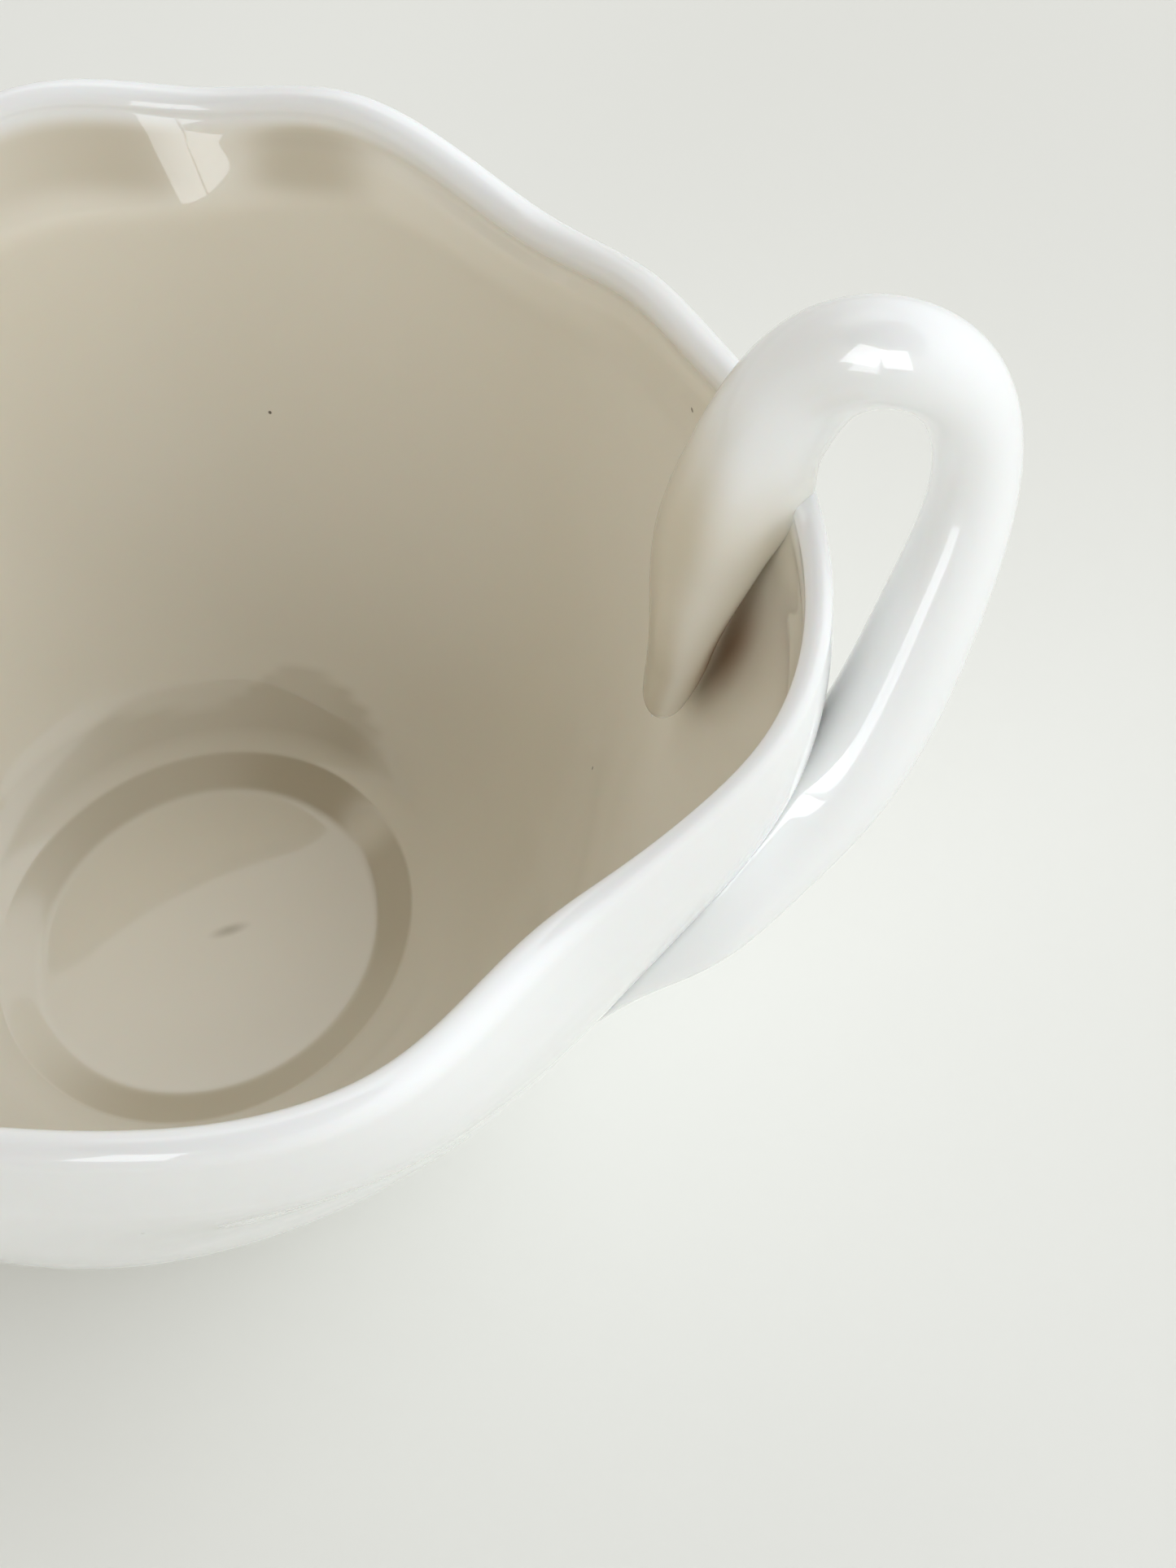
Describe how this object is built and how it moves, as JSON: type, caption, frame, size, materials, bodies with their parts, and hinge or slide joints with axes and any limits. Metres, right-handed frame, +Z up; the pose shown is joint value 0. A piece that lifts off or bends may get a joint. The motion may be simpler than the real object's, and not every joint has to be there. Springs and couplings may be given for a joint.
{
  "type": "porcelain cream jug",
  "caption": "Small white porcelain jug with a lobed oval bowl, a pouring lip, a turned foot ring and a slim handle that loops over the rim.",
  "frame": {"origin": "centre of the foot ring's resting edge, on the surface that the jug stands on", "axes": "+Z up, +X towards the handle, -X towards the pouring lip"},
  "size_m": [0.1148, 0.0835, 0.0731],
  "materials": {
    "glazed_porcelain": "glossy clear glaze",
    "biscuit_porcelain": "matte unglazed edge"
  },
  "bodies": {
    "root": {"body_shell": "glazed_porcelain", "foot_ring": "biscuit_porcelain", "handle": "glazed_porcelain", "root_slip": "glazed_porcelain", "beak_slip": "glazed_porcelain", "rim_slip": "glazed_porcelain"}
  },
  "joints": []
}
